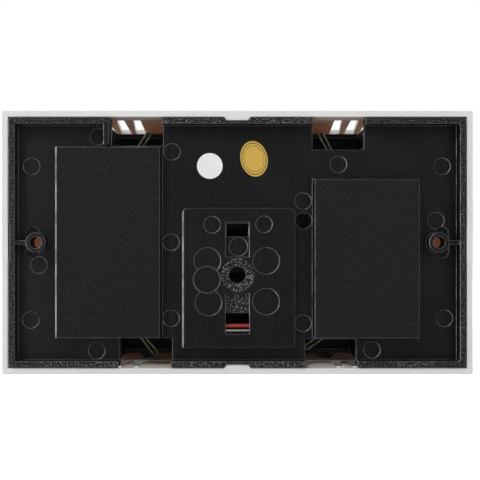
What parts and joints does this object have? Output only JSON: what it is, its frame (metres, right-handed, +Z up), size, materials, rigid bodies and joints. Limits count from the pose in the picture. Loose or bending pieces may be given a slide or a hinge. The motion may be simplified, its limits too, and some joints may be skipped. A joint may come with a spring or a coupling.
{
  "type": "doorbell chime box",
  "caption": "Wall-mounted wired door chime: black base plate carrying solenoid strikers and corded tone bars, under a louvred white cover.",
  "frame": {"origin": "midway between the two mounting holes, on the back plane that meets the wall", "axes": "+X along the long side, towards the long low note bar; +Y out of the back, into the wall, so the front faces -Y; +Z up the wall"},
  "size_m": [0.195, 0.055, 0.109],
  "materials": {
    "black": "satin",
    "white": "satin",
    "steel": "satin",
    "yoke_steel": "satin",
    "core_steel": "polished",
    "screw_steel": "satin",
    "brass": "satin",
    "copper_winding": "satin",
    "tape": "matte",
    "nylon": "satin",
    "tip_nylon": "satin",
    "grommet_rubber": "matte",
    "cord": "matte",
    "felt": "matte",
    "red_insulation": "satin",
    "grey_insulation": "satin",
    "spring_steel": "satin",
    "terminal_plastic": "satin",
    "white_paper": "matte",
    "gold_paper": "satin"
  },
  "bodies": {
    "base": {"base_plate": "black", "cord_brackets": "black", "low_lower_cord": "cord", "high_lower_cord": "cord", "front_bobbin": "nylon", "rear_bobbin": "nylon", "front_winding": "copper_winding", "rear_winding": "copper_winding", "front_tape": "tape", "rear_tape": "tape", "front_yoke": "yoke_steel", "rear_yoke": "yoke_steel", "terminal_block": "terminal_plastic", "terminal_screws": "brass", "clamp_washers": "brass", "block_screws": "screw_steel", "yoke_screws": "screw_steel", "stop_pads": "felt", "red_lead": "red_insulation", "rear_lead": "grey_insulation", "front_lead": "grey_insulation", "common_lead": "grey_insulation", "round_label": "white_paper", "oval_label": "gold_paper"},
    "cover": {"cover": "white"},
    "front_plunger": {"front_plunger": "core_steel", "front_low_tip": "tip_nylon", "front_high_tip": "tip_nylon", "front_spring": "spring_steel"},
    "rear_plunger": {"rear_plunger": "core_steel", "rear_spring_cap": "tip_nylon", "rear_high_tip": "tip_nylon", "rear_spring": "spring_steel"},
    "low_bar": {"low_tone_plate": "steel", "low_plate_grommets": "grommet_rubber", "low_upper_cord": "cord"},
    "high_bar": {"high_tone_plate": "steel", "high_plate_grommets": "grommet_rubber", "high_upper_cord": "cord"}
  },
  "joints": [
    {"name": "cover_lift", "type": "slide", "parent": "base", "child": "cover", "axis": [0, -1, 0], "range_m": [0, 0.06]},
    {"name": "front_plunger_slide", "type": "slide", "parent": "base", "child": "front_plunger", "axis": [1, 0, 0], "range_m": [-0.007, 0.003], "stiffness_N_per_m": 60, "deforming": ["front_spring"]},
    {"name": "rear_plunger_slide", "type": "slide", "parent": "base", "child": "rear_plunger", "axis": [1, 0, 0], "range_m": [-0.007, 0], "stiffness_N_per_m": 60, "springref_m": 0.001, "deforming": ["rear_spring"]},
    {"name": "low_bar_sway", "type": "hinge", "parent": "base", "child": "low_bar", "pos_m": [0.0395, -0.0212, 0.0476], "axis": [0, -1, 0], "range_deg": [0, 0.8]},
    {"name": "high_bar_sway", "type": "hinge", "parent": "base", "child": "high_bar", "pos_m": [-0.037, -0.0212, 0.0476], "axis": [0, 1, 0], "range_deg": [0, 0.8]}
  ]
}
